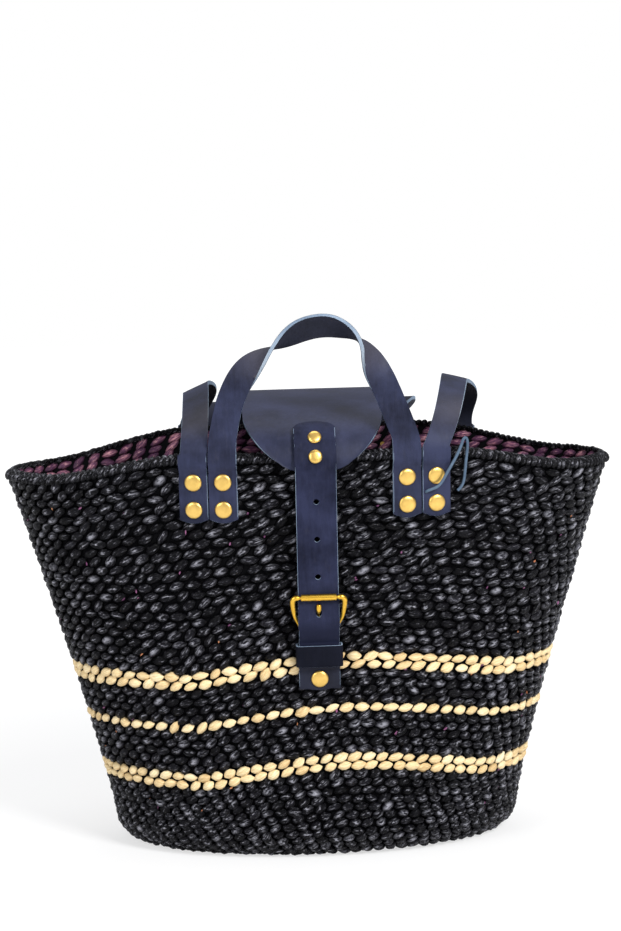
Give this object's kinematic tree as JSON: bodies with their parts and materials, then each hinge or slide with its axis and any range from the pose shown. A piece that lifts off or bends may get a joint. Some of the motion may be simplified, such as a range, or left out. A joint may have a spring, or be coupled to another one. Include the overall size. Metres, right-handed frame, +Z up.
{
  "type": "woven basket with leather handles",
  "caption": "Oval flared basket of dark weave with pale stripes, riveted leather handles and straps, a flap over the mouth and a strap that closes on a roller buckle.",
  "frame": {"origin": "centre of the base on the floor", "axes": "+X to the viewer's right, -Y to the front, +Z up"},
  "size_m": [0.463, 0.3259, 0.4043],
  "materials": {
    "woven_black": "coarse black weave with a faint blue sheen",
    "woven_cream": "matt pale fibre stitches",
    "leather": "smooth dark blue leather with pale cut edges",
    "lace": "thin matt leather lace",
    "brass": "worn polished brass"
  },
  "bodies": {
    "basket": {"back_handle_tab_left": "leather", "back_handle_tab_right": "leather", "basket_shell": "woven_black", "buckle_chape": "leather", "flap_base": "leather", "front_handle_tab_left": "leather", "front_handle_tab_right": "leather", "rim_braid": "woven_black", "rivet_back_handle_left_lower": "brass", "rivet_back_handle_left_upper": "brass", "rivet_back_handle_right_lower": "brass", "rivet_back_handle_right_upper": "brass", "rivet_chape": "brass", "rivet_flap_base_left": "brass", "rivet_flap_base_right": "brass", "rivet_front_handle_left_lower": "brass", "rivet_front_handle_left_upper": "brass", "rivet_front_handle_right_lower": "brass", "rivet_front_handle_right_upper": "brass", "rivet_side_strap_left_back_lower": "brass", "rivet_side_strap_left_back_upper": "brass", "rivet_side_strap_left_front_lower": "brass", "rivet_side_strap_left_front_upper": "brass", "rivet_side_strap_right_back_lower": "brass", "rivet_side_strap_right_back_upper": "brass", "rivet_side_strap_right_front_lower": "brass", "rivet_side_strap_right_front_upper": "brass", "side_strap_left": "leather", "side_strap_right": "leather", "stripe_lower": "woven_cream", "stripe_middle": "woven_cream", "stripe_upper": "woven_cream", "tie_lace": "lace"},
    "flap": {"flap": "leather", "closure_strap": "leather", "rivet_closure_upper": "brass", "rivet_closure_lower": "brass"},
    "front_handle": {"front_handle": "leather"},
    "back_handle": {"back_handle": "leather"},
    "buckle_frame": {"buckle_frame": "brass"},
    "buckle_prong": {"buckle_prong": "brass"},
    "buckle_roller": {"buckle_roller": "brass"},
    "keeper": {"keeper_loop": "leather"}
  },
  "joints": [
    {"name": "front_handle_fold", "type": "hinge", "parent": "basket", "child": "front_handle", "pos_m": [0, -0.11952, 0.3106], "axis": [1, 0, 0], "range_deg": [-50, 150]},
    {"name": "back_handle_fold", "type": "hinge", "parent": "basket", "child": "back_handle", "pos_m": [0, 0.11952, 0.3106], "axis": [-1, 0, 0], "range_deg": [-80, 50]},
    {"name": "flap_fold", "type": "hinge", "parent": "basket", "child": "flap", "pos_m": [0, 0.1231, 0.3106], "axis": [-1, 0, 0], "range_deg": [0, 95], "deforming": ["closure_strap"]},
    {"name": "buckle_swing", "type": "hinge", "parent": "basket", "child": "buckle_frame", "pos_m": [0, -0.11114, 0.17653], "axis": [1, 0, 0], "range_deg": [0, 75]},
    {"name": "prong_swing", "type": "hinge", "parent": "buckle_frame", "child": "buckle_prong", "pos_m": [0, -0.11114, 0.17653], "axis": [1, 0, 0], "range_deg": [0, 45]},
    {"name": "roller_spin", "type": "hinge", "parent": "buckle_frame", "child": "buckle_roller", "pos_m": [0, -0.12079, 0.20216], "axis": [1, 0, 0], "continuous": true},
    {"name": "keeper_slide", "type": "slide", "parent": "basket", "child": "keeper", "axis": [0, -0.0918, 0.9958], "range_m": [0, 0.004]}
  ]
}
